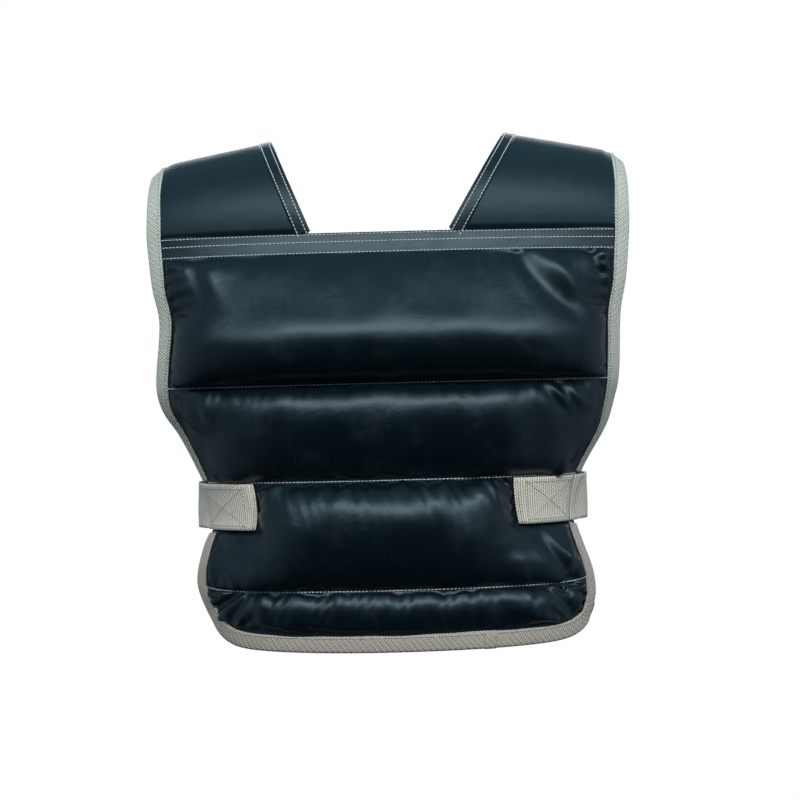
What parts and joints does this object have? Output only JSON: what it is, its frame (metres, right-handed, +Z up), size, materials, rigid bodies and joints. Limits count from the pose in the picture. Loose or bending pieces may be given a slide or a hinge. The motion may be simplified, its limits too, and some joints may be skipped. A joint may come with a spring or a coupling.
{
  "type": "weighted vest",
  "caption": "Filled training vest in dark satin nylon: level sand channels front and back, broad shoulder panels, grey tape edges and a webbing belt round the waist.",
  "frame": {"origin": "middle of the line between the two shoulder panels, level with their underside at the crest, where the vest sits on the shoulders", "axes": "+Z up, +Y towards the wearer's front, +X towards the wearer's right, so the back that the picture shows faces -Y"},
  "size_m": [0.4224, 0.31, 0.454],
  "materials": {
    "shell": "dark blue-black satin nylon",
    "facing": "folded satin nylon",
    "binding_tape": "grey twill tape",
    "webbing": "ribbed grey webbing",
    "buckle_plastic": "fine matte moulding"
  },
  "bodies": {
    "root": {"back_panel": "shell", "front_panel": "shell", "shoulder_left": "shell", "shoulder_right": "shell", "neck_facing_left": "facing", "neck_facing_right": "facing", "armhole_binding_left": "binding_tape", "armhole_binding_right": "binding_tape", "hem_binding_back": "binding_tape", "hem_binding_front": "binding_tape", "belt_left": "webbing", "belt_right": "webbing", "front_buckle": "buckle_plastic"}
  },
  "joints": []
}
